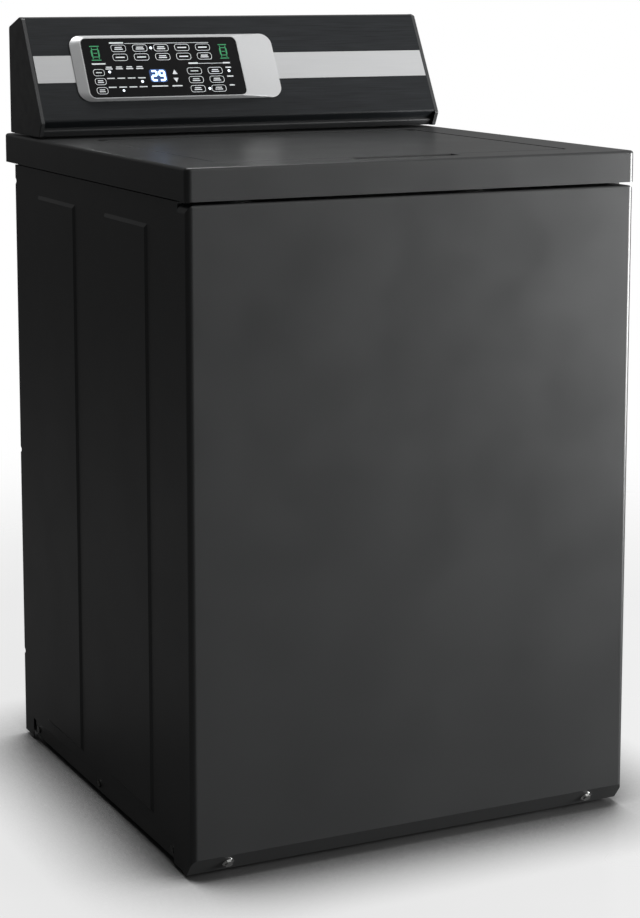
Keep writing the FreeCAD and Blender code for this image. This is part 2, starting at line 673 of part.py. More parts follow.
def make_console():
    hood = bar_x(console_outline(0.0), -CONSOLE_X, CONSOLE_X)
    hood = hood.cut(bar_x(console_outline(TOP_SHEET), -CONSOLE_X - 1, CONSOLE_X + 1))
    board_hole = on_face(plate(rectangle((-236, 40, -2, 122), 6), -8, 4))
    hood = hood.cut(board_hole)
    vents = [rod(3.0, (x, CONSOLE_BACK - 4, z), (x, CONSOLE_BACK + 1, z))
             for x in range(-60, 61, 20) for z in (960, 980, 1000)]
    keep("console_hood", hood.cut(vents))

    cap = bar_x([
        (549, CONSOLE_FOOT, 2), (538.9, 936.8, 4), (619.9, 1083.6, 4), (629.5, 1086.0, 3),
        (CONSOLE_BACK + 1, 1071.5, 5), (CONSOLE_BACK + 1, CONSOLE_FOOT, 2),
    ], -CAP_X, -CONSOLE_X)
    cap = rounded(cap, 1.5, lambda b: b.XMax < -CAP_X + 0.01)
    keep("left_end_cap", cap)
    keep("right_end_cap", mirrored(cap))

    strip = bar_x([(FACE_LENGTH, 0), (0, 0, 4), (-3, -14), (-1.6, -14.3), (1.2, -FASCIA, 2.6),
                   (FACE_LENGTH, -FASCIA)], -CONSOLE_X + 0.3, CONSOLE_X - 0.3)
    fascia = on_face(strip).cut(on_face(plate(rectangle((-236, 40, -2, 122), 6), -4, 2)))
    keep("console_fascia", fascia)

    left = plate(rectangle((-CONSOLE_X + 1, STRIPE_LOW, BEZEL[0] - 0.2, STRIPE_HIGH)), 0, 0.6)
    right = plate(rectangle((BEZEL[2] + 0.2, STRIPE_LOW, CONSOLE_X - 1, STRIPE_HIGH)), 0, 0.6)
    keep("trim_stripe", on_face(left), on_face(right))

    foot = plate(rectangle(BEZEL, BEZEL_R), 0, BEZEL_EDGE)
    wires = [
        outline(rectangle(BEZEL, BEZEL_R), lambda a, b: Vector(a, b, BEZEL_EDGE)),
        outline(rectangle(GLASS, GLASS_R, 1.2), lambda a, b: Vector(a, b, BEZEL_RISE)),
    ]
    crown = Part.makeLoft(wires, True, True)
    bezel = fused(foot, crown).cut(plate(rectangle(GLASS, GLASS_R), -1, BEZEL_RISE + 1))
    keep("control_bezel", on_face(bezel))
    glass = plate(rectangle(GLASS, GLASS_R, -0.2), 0.2, BEZEL_RISE - 0.6)
    keep("touch_panel", on_face(glass))

    board = plate(rectangle((-232, 44, -6, 118), 3), -16, -14.4)
    window = plate(rectangle((-140, 70, -98, 92), 2), -14.4, -4)
    supply = plate(rectangle((-60, 52, -14, 80), 3), -34, -16)
    keep("control_board", on_face(fused(board, window, supply)))


# ---------------------------------------------------------------- tub group


def make_tub():
    wall = TUB_WALL
    inner = TUB_R - wall
    shell = turned([
        (45, TUB_FLOOR), (TUB_R, TUB_FLOOR, 24), (TUB_R, TUB_RIM - 8), (TUB_R + 5, TUB_RIM - 6),
        (TUB_R + 5, TUB_RIM),
        (inner, TUB_RIM), (inner, TUB_FLOOR + 4, 21), (45, TUB_FLOOR + 4),
    ])
    lugs = []
    for x in (-ROD_X, ROD_X):
        for dy in (-ROD_Y, ROD_Y):
            y = AXIS_Y + dy
            reach = math.hypot(x, dy)
            arm = block(TUB_R - 1.5, -17, -12, reach, 17, 0)
            rib = bar_y([(TUB_R - 1.5, 0), (TUB_R + 65, 0), (TUB_R - 1.5, 70)], -3, 3)
            arm = fused(arm, rib)
            arm.rotate(Vector(0, 0, 0), Z_AXIS, math.degrees(math.atan2(dy, x)))
            arm.translate(Vector(0, AXIS_Y, LUG_Z))
            eye = rod(24, (x, y, LUG_Z - 12), (x, y, LUG_Z))
            bore = rod(ROD_R + 4, (x, y, LUG_Z - 20), (x, y, LUG_Z + 8))
            lugs.append(arm.fuse(eye).cut(bore))
    spigot = rod(20, (SUMP_X, SUMP_Y, 186), (SUMP_X, SUMP_Y, TUB_FLOOR + 1))
    tub = fused(shell, spigot, *lugs).cut(rod(17, (SUMP_X, SUMP_Y, 180), (SUMP_X, SUMP_Y, 230)))
    keep("outer_tub", tub)
    keep("tub_ring", turned([
        (RING_BORE, RING_TOP - 8, 2), (TUB_R + 1, TUB_RIM), (TUB_R + 8, TUB_RIM), (TUB_R + 8, TUB_RIM - 10),
        (TUB_R + 10, TUB_RIM - 10), (TUB_R + 10, TUB_RIM + 4, 3), (RING_BORE, RING_TOP, 3),
    ]))


def make_drive_housing():
    housing = turned([
        (30, 122), (45, 122, 2), (45, 190, 10), (90, 200), (90, TUB_FLOOR), (45, TUB_FLOOR),
        (45, TUB_FLOOR + 9), (30, TUB_FLOOR + 9),
    ])
    step = turned([(24, 140), (30.5, 140), (30.5, 198), (24, 198)])
    keep("bearing_housing", fused(housing, step))
    bore = SPIN_TUBE_R + RUNNING_GAP
    lower = turned([(bore, 124), (30, 124, 1), (30, 140, 1), (bore, 140)])
    upper = turned([(bore, 198), (30, 198, 1), (30, 214, 1), (bore, 214)])
    keep("shaft_bearings", lower, upper)

    width, half = 250.0, 105.0
    beam = plate([(-width, AXIS_Y - half, 12), (width, AXIS_Y - half, 12), (width, AXIS_Y + half, 12),
                  (-width, AXIS_Y + half, 12)], FRAME_Z, FRAME_Z + 4)
    lips = [block(-width + 12, y, FRAME_Z - 22, width - 12, y + 3, FRAME_Z + 4)
            for y in (AXIS_Y - half, AXIS_Y + half - 3)]
    posts = [rod(10, (x, AXIS_Y + dy, FRAME_Z + 4), (x, AXIS_Y + dy, TUB_FLOOR))
             for x in (-205, 205) for dy in (-80, 80)]
    frame = fused(beam, *lips, *posts).cut(rod(91, (0, AXIS_Y, FRAME_Z - 30), (0, AXIS_Y, FRAME_Z + 10)))
    keep("drive_frame", frame)


def make_motor():
    x = MOTOR_X
    can = turned([(0, MOTOR_LOW), (50, MOTOR_LOW, 4), (MOTOR_R, MOTOR_LOW + 12, 5),
                  (MOTOR_R, MOTOR_HIGH - 10, 5), (50, MOTOR_HIGH, 4), (0, MOTOR_HIGH)], x)
    cavity = turned([(0, 128), (46, 128), (46, 192), (0, 192)], x)
    posts = [rod(6, (x + 40 * math.cos(a), AXIS_Y + 40 * math.sin(a), MOTOR_HIGH - 6),
                 (x + 40 * math.cos(a), AXIS_Y + 40 * math.sin(a), FRAME_Z)) for a in (0.8, 2.34, 3.94, 5.48)]
    vents = []
    for i in range(12):
        slot = block(44, -4, 140, 70, 4, 178)
        slot.rotate(Vector(0, 0, 0), Z_AXIS, 30 * i)
        slot.translate(Vector(x, AXIS_Y, 0))
        vents.append(slot)
    bore = rod(8 + RUNNING_GAP, (x, AXIS_Y, 100), (x, AXIS_Y, 130))
    keep("motor_housing", fused(can, *posts).cut([cavity, bore] + vents))
    armature = rod(42, (x, AXIS_Y, 132), (x, AXIS_Y, 186))
    keep("motor_rotor", fused(rod(8, (x, AXIS_Y, 92), (x, AXIS_Y, 188)), armature))

    def grooved(radius, hub):
        mid = (BELT_Z0 + BELT_Z1) / 2
        return [(hub, BELT_Z0 - 3), (radius + 4, BELT_Z0 - 3), (radius + 4, BELT_Z0 - 1),
                (radius, BELT_Z0 - 0.5), (radius, mid), (radius, BELT_Z1 + 0.5), (radius + 4, BELT_Z1 + 1),
                (radius + 4, BELT_Z1 + 3), (hub, BELT_Z1 + 3)]

    keep("motor_pulley", turned(grooved(MOTOR_PULLEY_R, 8.02), x))
    pulley = turned(grooved(PULLEY_R, SPIN_TUBE_R))
    hollow = turned([(36, BELT_Z0 + 5), (104, BELT_Z0 + 5), (104, BELT_Z1 + 5), (36, BELT_Z1 + 5)])
    under = turned([(36, BELT_Z0 - 5), (104, BELT_Z0 - 5), (104, BELT_Z0), (36, BELT_Z0)])
    centres = [(72 * math.cos(math.radians(60 * i)), AXIS_Y + 72 * math.sin(math.radians(60 * i)))
               for i in range(6)]
    holes = [rod(20, (*centre, 80), (*centre, 120)) for centre in centres]
    keep("drive_pulley", pulley.cut([hollow, under] + holes))

    def loop(extra, z0, z1):
        """Straight-sided loop around both pulleys, extra outside their rims."""
        big, small = PULLEY_R + extra, MOTOR_PULLEY_R + extra
        lean = math.acos((big - small) / abs(MOTOR_X))
        points = [(big * math.cos(math.pi - lean), AXIS_Y + big * math.sin(math.pi - lean)),
                  (x + small * math.cos(math.pi - lean), AXIS_Y + small * math.sin(math.pi - lean))]
        upper = [Vector(a, b, z0) for a, b in points]
        lower = [Vector(a, 2 * AXIS_Y - b, z0) for a, b in points]
        edges = [
            Part.makeLine(upper[0], upper[1]),
            Part.Arc(upper[1], Vector(x - small, AXIS_Y, z0), lower[1]).toShape(),
            Part.makeLine(lower[1], lower[0]),
            Part.Arc(lower[0], Vector(big, AXIS_Y, z0), upper[0]).toShape(),
        ]
        return Part.Face(Part.Wire(edges)).extrude(Vector(0, 0, z1 - z0))

    belt = loop(BELT_GAP + BELT_THICK, BELT_Z0, BELT_Z1).cut(loop(BELT_GAP, BELT_Z0 - 1, BELT_Z1 + 1))
    keep("drive_belt", belt)


def make_basket():
    r, floor = BASKET_R, BASKET_FLOOR
    keep("wash_basket", turned([(r - 1.5, SEAM_Z), (r, SEAM_Z), (r, BASKET_RIM), (r - 1.5, BASKET_RIM)]))
    lip = r - 1.5 - SEAM_GAP
    keep("basket_floor", turned([
        (30, floor), (150, floor, 40), (lip, floor + 16, 24), (lip, SEAM_Z + 18), (lip - 1.5, SEAM_Z + 18),
        (lip - 1.5, floor + 17.5, 22.5), (150, floor + 2, 38), (30, floor + 2),
    ]))
    keep("balance_ring", turned([
        (214, 730, 6), (r - 1.5, 730, 2), (r - 1.5, BASKET_RIM), (r + 4, BASKET_RIM, 1.5),
        (r + 4, BALANCE_TOP, 5), (220, BALANCE_TOP, 8), (210, 756, 5),
    ]))
    keep("spin_hub", turned([
        (SHAFT_R + 0.3, BELT_Z0 - 6), (SPIN_TUBE_R, BELT_Z0 - 6), (SPIN_TUBE_R, 236, 4), (34, 250, 6),
        (96, 262, 3), (96, floor), (SHAFT_R + 0.3, floor),
    ]))


def make_agitator():
    z = AGITATOR_FLOOR
    skin = turned([
        (0, z), (158, z), (160, z + 6, 3), (112, z + 26, 60), (66, z + 92, 80), (52, 520, 300),
        (50, AGITATOR_TOP), (0, AGITATOR_TOP),
    ])
    hollow = turned([
        (0, z - 1), (154, z - 1), (155, z + 3), (108, z + 22, 56), (62, z + 90, 76), (48, 520, 296),
        (46, AGITATOR_TOP + 1), (0, AGITATOR_TOP + 1),
    ])
    blades = []
    for i in range(BLADES):
        blade = bar_y([(50, z + 10), (166, z + 3, 4), (176, z + 22, 12), (128, z + 86, 60), (86, z + 190, 60),
                       (50, z + 238)], -4, 4)
        blade.rotate(Vector(0, 0, 0), Z_AXIS, 360 / BLADES * i + 45)
        blade.translate(Vector(0, AXIS_Y, 0))
        blades.append(blade)
    vanes = []
    ring = turned([(47, 540), (74, 560, 8), (74, 670, 8), (47, 690)])
    for i in range(3):
        for turn in (0, 1):
            vane = block(40, -46, -3, 80, 46, 3)
            vane.rotate(Vector(0, 0, 0), X_AXIS, 38)
            vane.rotate(Vector(0, 0, 0), Z_AXIS, 120 * i + 60 * turn)
            vane.translate(Vector(0, AXIS_Y, 590 + 50 * turn))
            vanes.append(vane.common(ring))
    barrel = skin.cut(hollow)
    above = rod(200, (0, AXIS_Y, AUGER_Z), (0, AXIS_Y, AGITATOR_TOP + 2))
    core = turned([(0, z), (151, z), (108, z + 20), (62, z + 88), (47, 520), (45.5, AGITATOR_TOP),
                   (0, AGITATOR_TOP)])
    web = turned([(SHAFT_R, 470), (20, 470), (20, 505), (50, 505), (50, 510), (SHAFT_R, 510)])
    keep("agitator", fused(barrel.cut(above), web, *[blade.cut(core) for blade in blades]))
    web = turned([(SHAFT_R, 600), (20, 600), (20, 640), (47.5, 640), (47.5, 645), (SHAFT_R, 645)])
    keep("agitator_auger", fused(barrel.common(above), web, *[vane.cut(core) for vane in vanes]))
    shaft = rod(SHAFT_R, (0, AXIS_Y, 84), (0, AXIS_Y, 652))
    nut = rod(16, (0, AXIS_Y, 645), (0, AXIS_Y, 655))
    keep("agitator_shaft", fused(shaft, nut))
    keep("softener_cup", turned([
        (0, 672), (40, 672, 3), (45, AGITATOR_TOP + 0.4), (51, AGITATOR_TOP + 0.4),
        (51, AGITATOR_TOP + 12, 4), (30, AGITATOR_TOP + 34, 12), (14, AGITATOR_TOP + 37),
        (14, AGITATOR_TOP + 30), (12, AGITATOR_TOP + 30), (12, 676), (0, 676),
    ]))


# ---------------------------------------------------------------- water and pump


def make_water_parts():
    z = VALVE_Z
    body = plate(rectangle((-238, 624, -122, 652), 5), z - 17, z + 17)
    plate_behind = block(-244, 652, z - 22, -116, CABINET_DEPTH, z + 22)
    pieces = [body, plate_behind]
    bores = []
    for x in PORTS_X:
        pieces.append(rod(16.5, (x, CABINET_DEPTH - 2, z), (x, PORT_Y0, z)))
        pieces.append(rod(PORT_R, (x, PORT_Y0, z), (x, PORT_Y1, z)))
        pieces.append(rod(14, (x, 638, z + 16), (x, 638, z + 50)))
        bores.append(rod(8.5, (x, 640, z), (x, PORT_Y1 + 1, z)))
    pieces.append(rod(8, (-180, 600, z), (-180, 630, z)))
    bores.append(rod(5.5, (-180, 590, z), (-180, 640, z)))
    keep("inlet_valve", fused(*pieces).cut(bores))

    high = NOZZLE_Z
    route = [(-180, 602, z), (-180, 568, z), (-172, 548, z + 18), (-140, 548, z + 48), (-90, 548, high - 2),
             (-40, 548, high), (0, 540, high), (0, 514, high)]
    keep("inlet_hose", hose(route, 10.5, 8.05))
    roof = LEDGE_Z - TOP_SHEET
    nozzle = bar_x([(474, 864, 3), (512, 870, 6), (512, roof), (474, roof)], -34, 34)
    cavity = bar_x([(472, 866), (508, 873, 4), (508, roof - 2), (472, roof - 2)], -31, 31)
    spigot = rod(8, (0, 510, high), (0, 526, high))
    keep("water_nozzle", fused(nozzle, spigot).cut([cavity, rod(5.5, (0, 505, high), (0, 531, high))]))

    outlet = fused(
        rod(17.5, (DRAIN_X, CABINET_DEPTH - 3, DRAIN_Z), (DRAIN_X, CABINET_DEPTH + SHEET + 1, DRAIN_Z)),
        rod(24, (DRAIN_X, CABINET_DEPTH + SHEET, DRAIN_Z), (DRAIN_X, DRAIN_Y0, DRAIN_Z)),
        rod(DRAIN_R, (DRAIN_X, DRAIN_Y0, DRAIN_Z), (DRAIN_X, DEPTH, DRAIN_Z)),
        rod(11, (DRAIN_X, 630, DRAIN_Z), (DRAIN_X, CABINET_DEPTH, DRAIN_Z)),
    )
    keep("drain_outlet", outlet.cut(rod(9, (DRAIN_X, 620, DRAIN_Z), (DRAIN_X, DEPTH + 1, DRAIN_Z))))

    x, y = SUMP_X, SUMP_Y
    volute = turned([(0, 58), (46, 58, 4), (46, PUMP_TOP, 4), (20, PUMP_TOP + 4), (20, 130), (0, 130)], x, y)
    drive = turned([(0, 30), (30, 30), (30, 59), (0, 59)], x, y)
    flange = plate(rectangle((x - 52, y - 26, x + 52, y + 26), 10), 30, 34)
    spout = rod(11, (x + 34, y, PUMP_Z), (x + 78, y, PUMP_Z))
    pump = fused(volute, drive, flange, spout)
    cavity = turned([(0, 62), (40, 62), (40, 92), (17, 96), (17, 131), (0, 131)], x, y)
    pump = pump.cut([cavity, rod(9, (x + 30, y, PUMP_Z), (x + 79, y, PUMP_Z)),
                     rod(3 + RUNNING_GAP, (x, y, 40), (x, y, 64))])
    keep("drain_pump", pump)
    disc = fused(rod(34, (x, y, 65), (x, y, 68)), rod(9, (x, y, 65), (x, y, 88)),
                 rod(3, (x, y, 44), (x, y, 66)))
    fins = []
    for i in range(6):
        fin = block(6, -1.5, 67, 33, 1.5, 86)
        fin.rotate(Vector(0, 0, 0), Z_AXIS, 60 * i)
        fin.translate(Vector(x, y, 0))
        fins.append(fin)
    keep("pump_impeller", fused(disc, *fins))

    ridges, z0, pitch = [], 132.0, 8.0
    points = [(20.05, 118), (23, 118), (23, z0 - 2)]
    for i in range(6):
        points += [(28, z0 + pitch * i + 2), (23, z0 + pitch * i + 6)]
    points += [(23, 200), (20.05, 200)]
    inner = [(20.05, z0 + pitch * 6 - 2)]
    for i in reversed(range(6)):
        inner += [(26, z0 + pitch * i + 2), (21, z0 + pitch * i - 2)]
    keep("sump_bellows", turned(points + inner, x, y))

    line = [(x + 66, y, PUMP_Z), (x + 106, y, PUMP_Z), (x + 142, y + 22, PUMP_Z),
            (DRAIN_X - 2, y + 62, PUMP_Z + 2), (DRAIN_X + 2, y + 150, PUMP_Z + 8),
            (DRAIN_X - 2, y + 250, PUMP_Z + 14), (DRAIN_X, y + 350, PUMP_Z + 24),
            (DRAIN_X, y + 430, DRAIN_Z), (DRAIN_X, y + 500, DRAIN_Z)]
    keep("drain_hose", hose(line, HOSE_R, 11.0))


# ---------------------------------------------------------------- build and export


def main():
    os.makedirs("parts", exist_ok=True)
    make_base()
    make_feet()
    make_side()
    make_front()
    make_rear()
    make_corner_brackets()
    make_springs()
    make_top()
    make_top_fittings()
    make_lid()
    make_console()
    make_tub()
    make_drive_housing()
    make_motor()
    make_basket()
    make_agitator()
    make_water_parts()
    for name, shape in sorted(parts.items()):
        placed = shape.copy()
        placed.translate(Vector(0, -DEPTH / 2, 0))
        if not placed.isValid() or any(s.Volume <= 0 for s in placed.Solids):
            print("check shape", name, placed.isValid(), [s.Volume for s in placed.Solids])
        placed.exportStep(f"parts/{name}.step")
    print(len(parts), "nodes")


main()
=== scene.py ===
import json
import math

import bpy
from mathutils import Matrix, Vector


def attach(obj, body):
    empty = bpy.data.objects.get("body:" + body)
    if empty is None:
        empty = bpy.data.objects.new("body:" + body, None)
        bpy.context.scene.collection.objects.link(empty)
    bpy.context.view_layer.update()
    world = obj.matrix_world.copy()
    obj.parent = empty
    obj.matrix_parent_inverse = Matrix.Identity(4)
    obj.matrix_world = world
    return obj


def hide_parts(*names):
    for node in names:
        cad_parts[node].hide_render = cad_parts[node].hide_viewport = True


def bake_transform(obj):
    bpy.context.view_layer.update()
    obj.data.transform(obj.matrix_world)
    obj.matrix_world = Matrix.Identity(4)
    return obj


# Top load washing machine: finishes, printed control window, perforated basket, coil springs, studio.
# Metres, +Z up, the front panel faces -Y. Colours are linear. The control window is laid out in millimetres.

# The console face starts at its lower edge and rises at FACE_ANGLE from level.
FACE_Y, FACE_Z = 0.1847, 0.9389
FACE_ANGLE = math.radians(61.1)
GLASS_TOP = 0.0059
PRINT_LIFT = 0.00012

# Tub group.
AXIS_Y = -0.0305
BASKET_R = 0.247
BASKET_SHEET = 0.0015
BASKET_SEAM, BASKET_RIM = 0.296, 0.760
HOLE_COLUMNS, HOLE_ROWS = 108, 28
HOLE_R, HOLE_SIDES = 0.0026, 8
HOLES_ABOVE_SEAM, HOLES_BELOW_RIM = 0.026, 0.034
ROD_X, ROD_Y = 0.282, 0.250
SPRING_R, SPRING_WIRE = 0.018, 0.0022
SPRING_Z = (0.1732, 0.3156)
SPRING_TURNS = 8
WIRE_SIDES, STEPS_PER_TURN = 10, 28
END_CLOSING = 0.35

# Sump bellows: plain cuffs at both ends, ridges between them.
BELLOWS_AT = (0.110, -0.2055)
BELLOWS_Z = (0.118, 0.200)
CUFF_R, CUFF_Z = 0.0225, (0.130, 0.182)
RIDGE_R, RIDGE_RISE, RIDGE_Z = 0.0245, 0.0030, (0.131, 0.180)
RIDGES, RIDGE_STEPS = 6, 8
BELLOWS_WALL = 0.0018

EDGE_ROLL = 0.0004

GRAPHITE = (0.040, 0.041, 0.0415)
SILVER = (0.56, 0.565, 0.57)
PRINT_WHITE = (0.72, 0.74, 0.76)
LAMP_GREEN = (0.03, 0.22, 0.09)
LAMP_BLUE = (0.40, 0.60, 1.0)

# Studio. The sky runs from its dark side to its lit side in steps of (place, grey).
FLOOR_HALF = 14
FLOOR_FADE = (0.9, 2.4)
FLOOR_GLOW, FLOOR_BOUNCE = 0.75, 0.14
# The floor's glow holds painted shade: darker near the object by ambient occlusion, and a painted shadow under
# the footprint rectangle.
SHADE_REACH, SHADE_AT_WALL = 0.17, 0.52
FOOTPRINT, FOOTPRINT_EDGE = (0.315, 0.325), 0.90
SKY_LIT_FROM = (0.85, -0.25, 0.10)
SKY_RANGE = (-0.5, 0.8)
SKY_STEPS = ((0.0, 0.10), (0.30, 0.105), (0.52, 0.135), (0.80, 0.46), (0.92, 0.90), (1.0, 1.1))
CAMERA_AT = (-1.384, -2.898, 1.1435)
CAMERA_DOWN, CAMERA_TURN = 0.1466, 0.4537

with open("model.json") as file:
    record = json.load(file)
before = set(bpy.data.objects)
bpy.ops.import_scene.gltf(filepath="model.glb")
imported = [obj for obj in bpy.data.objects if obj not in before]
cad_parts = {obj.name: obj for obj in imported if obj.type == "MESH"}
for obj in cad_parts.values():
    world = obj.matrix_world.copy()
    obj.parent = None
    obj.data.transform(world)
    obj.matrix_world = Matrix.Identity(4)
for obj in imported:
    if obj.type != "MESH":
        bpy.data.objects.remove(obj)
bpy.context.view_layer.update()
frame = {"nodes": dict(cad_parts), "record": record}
nodes = frame["nodes"]


# ---------------------------------------------------------------- finishes


class Finish:
    """A Principled material whose colour, gloss and relief come from patterns in object space."""

    def __init__(self, name, metallic=0.0, **sockets):
        self.material = bpy.data.materials.new(name)
        self.material.use_nodes = True
        self.tree = self.material.node_tree
        self.shader = self.tree.nodes["Principled BSDF"]
        self.coords = self.tree.nodes.new("ShaderNodeTexCoord").outputs["Object"]
        self.set("Metallic", metallic)
        for socket, value in sockets.items():
            self.set(socket.replace("_", " "), value)

    def set(self, socket, value):
        self.shader.inputs[socket].default_value = value

    def link(self, source, target):
        self.tree.links.new(source, target)

    def spread(self, value, low, high, to_low=0.0, to_high=1.0):
        """Value carried from the range low to high onto the range to_low to to_high."""
        node = self.tree.nodes.new("ShaderNodeMapRange")
        node.inputs["From Min"].default_value = low
        node.inputs["From Max"].default_value = high
        node.inputs["To Min"].default_value = to_low
        node.inputs["To Max"].default_value = to_high
        self.link(value, node.inputs["Value"])
        return node

    def combined(self, operation, first, second):
        node = self.tree.nodes.new("ShaderNodeMath")
        node.operation = operation
        self.link(first, node.inputs[0])
        self.link(second, node.inputs[1])
        return node.outputs["Value"]

    def stretched(self, stretch):
        mapping = self.tree.nodes.new("ShaderNodeMapping")
        mapping.inputs["Scale"].default_value = stretch
        self.link(self.coords, mapping.inputs["Vector"])
        return mapping.outputs["Vector"]

    def noise(self, scale, detail, stretch=(1, 1, 1)):
        node = self.tree.nodes.new("ShaderNodeTexNoise")
        node.inputs["Scale"].default_value = scale
        node.inputs["Detail"].default_value = detail
        self.link(self.stretched(stretch), node.inputs["Vector"])
        return node.outputs["Fac"]

    def cells(self, scale, output):
        node = self.tree.nodes.new("ShaderNodeTexVoronoi")
        node.inputs["Scale"].default_value = scale
        self.link(self.coords, node.inputs["Vector"])
        return node.outputs[output]

    def colour(self, pattern, dark, light, low=0.3, high=0.7):
        ramp = self.tree.nodes.new("ShaderNodeValToRGB")
        ramp.color_ramp.elements[0].position = low
        ramp.color_ramp.elements[1].position = high
        ramp.color_ramp.elements[0].color = (*dark, 1)
        ramp.color_ramp.elements[1].color = (*light, 1)
        self.link(pattern, ramp.inputs["Fac"])
        self.link(ramp.outputs["Color"], self.shader.inputs["Base Color"])

    def gloss(self, pattern, smooth, rough, low=0.3, high=0.7):
        roughness = self.spread(pattern, low, high, smooth, rough)
        self.link(roughness.outputs["Result"], self.shader.inputs["Roughness"])

    def relief(self, pattern, depth, strength):
        """Bumps of the given depth."""
        bump = self.tree.nodes.new("ShaderNodeBump")
        bump.inputs["Strength"].default_value = strength
        bump.inputs["Distance"].default_value = depth
        self.link(pattern, bump.inputs["Height"])
        self.link(bump.outputs["Normal"], self.shader.inputs["Normal"])

    def fading_out(self, near, far):
        """Opaque near the middle, clear beyond far, so that a floor melts into the backdrop."""
        distance = self.tree.nodes.new("ShaderNodeVectorMath")
        distance.operation = "LENGTH"
        self.link(self.coords, distance.inputs[0])
        fade = self.spread(distance.outputs["Value"], near, far, 1.0, 0.0)
        fade.interpolation_type = "SMOOTHSTEP"
        self.link(fade.outputs["Result"], self.shader.inputs["Alpha"])

    def painted_footprint_shadow(self, half_width, half_depth):
        """Painted shadow under the object: zero under a rectangle about the origin, rising to one just inside
        its edge.
        """
        size = self.tree.nodes.new("ShaderNodeVectorMath")
        size.operation = "ABSOLUTE"
        self.link(self.stretched((1 / half_width, 1 / half_depth, 0)), size.inputs[0])
        sides = self.tree.nodes.new("ShaderNodeSeparateXYZ")
        self.link(size.outputs["Vector"], sides.inputs["Vector"])
        furthest = self.combined("MAXIMUM", sides.outputs["X"], sides.outputs["Y"])
        return self.spread(furthest, FOOTPRINT_EDGE, 1.0).outputs["Result"]

    def glow_with_painted_shade(self, glow, bounce, reach):
        """White sweep, bright to the eye with little bounce, whose glow holds painted shade: darker near the
        object by ambient occlusion, and a painted shadow where the object stands.
        """
        shade = self.tree.nodes.new("ShaderNodeAmbientOcclusion")
        shade.samples = 12
        shade.inputs["Distance"].default_value = reach
        depth = self.spread(shade.outputs["AO"], SHADE_AT_WALL, 1.0)
        # Painted shade: the glow's colour is occlusion depth times the painted shadow under the footprint.
        light = self.combined("MULTIPLY", depth.outputs["Result"], self.painted_footprint_shadow(*FOOTPRINT))
        self.link(light, self.shader.inputs["Emission Color"])
        self.set("Emission Strength", glow)
        dim = self.tree.nodes.new("ShaderNodeBsdfDiffuse")
        dim.inputs["Color"].default_value = (bounce, bounce, bounce, 1)
        split_rays(self.tree, self.shader.outputs["BSDF"], dim.outputs["BSDF"], "Material Output")


def split_rays(tree, seen, lighting, output):
    """One shader for what the camera sees, and another for the light that everything else receives."""
    ray = tree.nodes.new("ShaderNodeLightPath")
    mix = tree.nodes.new("ShaderNodeMixShader")
    tree.links.new(ray.outputs["Is Camera Ray"], mix.inputs["Fac"])
    tree.links.new(lighting, mix.inputs[1])
    tree.links.new(seen, mix.inputs[2])
    tree.links.new(mix.outputs["Shader"], tree.nodes[output].inputs["Surface"])


def tint(colour, share):
    return tuple(c * share for c in colour)


def paint(name, colour, spread=0.06, smooth=0.30, rough=0.36, metallic=0.35):
    """Stoved enamel: fine flake in the colour and a slight orange peel."""
    f = Finish(name, metallic, Coat_Weight=0.12, Coat_Roughness=0.12)
    f.colour(f.noise(2600, 2), tint(colour, 1 - spread), tint(colour, 1 + spread))
    f.gloss(f.noise(9, 4), smooth, rough)
    f.relief(f.noise(420, 2), 0.00003, 0.35)
    return f.material


def moulded(name, colour, smooth=0.40, rough=0.52):
    """Moulded plastic with a spark eroded texture and faint flow marks."""
    f = Finish(name)
    f.colour(f.noise(14, 5), tint(colour, 0.90), tint(colour, 1.08))
    f.gloss(f.noise(60, 4), smooth, rough)
    f.relief(f.noise(900, 3), 0.00004, 0.5)
    return f.material


def rubber(name, colour):
    """Dull moulded rubber with a fine bloom."""
    f = Finish(name)
    f.colour(f.noise(45, 6), tint(colour, 0.8), tint(colour, 1.3))
    f.gloss(f.noise(120, 4), 0.62, 0.85)
    f.relief(f.noise(700, 4), 0.00006, 0.6)
    return f.material


def zinc(name, colour):
    """Hot dip zinc with its crystal pattern."""
    f = Finish(name, 0.9)
    crystals = f.cells(90, "Color")
    f.colour(crystals, tint(colour, 0.72), tint(colour, 1.05), 0.1, 0.9)
    f.gloss(crystals, 0.34, 0.52, 0.0, 1.0)
    f.relief(f.noise(300, 4), 0.00003, 0.4)
    return f.material


def brushed(name, colour, stretch, scale=55, spread=0.10, smooth=0.22, rough=0.38, metallic=1.0, shine=0.5):
    """Metal brushed along the axis with the smallest stretch."""
    f = Finish(name, metallic, Specular_IOR_Level=shine)
    lines = f.noise(scale, 8, stretch)
    f.colour(lines, tint(colour, 1 - spread), tint(colour, 1 + spread))
    f.gloss(lines, smooth, rough)
    f.relief(lines, 0.00004, 0.35)
    return f.material


def cast(name, colour):
    """Sand cast metal."""
    f = Finish(name, 0.85)
    f.colour(f.noise(70, 6), tint(colour, 0.75), tint(colour, 1.1))
    f.gloss(f.noise(140, 5), 0.42, 0.62)
    f.relief(f.noise(260, 6), 0.00025, 0.6)
    return f.material


def plated(name, colour, smooth=0.16, rough=0.30):
    """Thin bright plating over a drawn or turned surface."""
    f = Finish(name, 1.0)
    f.colour(f.noise(160, 5), tint(colour, 0.86), tint(colour, 1.05))
    f.gloss(f.noise(220, 5), smooth, rough)
    f.relief(f.noise(500, 3), 0.00002, 0.4)
    return f.material


def black_window(name):
    """Hard coated black panel: even gloss broken by faint handling marks."""
    f = Finish(name, Specular_IOR_Level=0.18)
    f.colour(f.noise(30, 5), (0.0045, 0.0045, 0.005), (0.0065, 0.0065, 0.007))
    f.gloss(f.noise(18, 6), 0.10, 0.20)
    f.relief(f.noise(80, 2), 0.00001, 0.2)
    return f.material


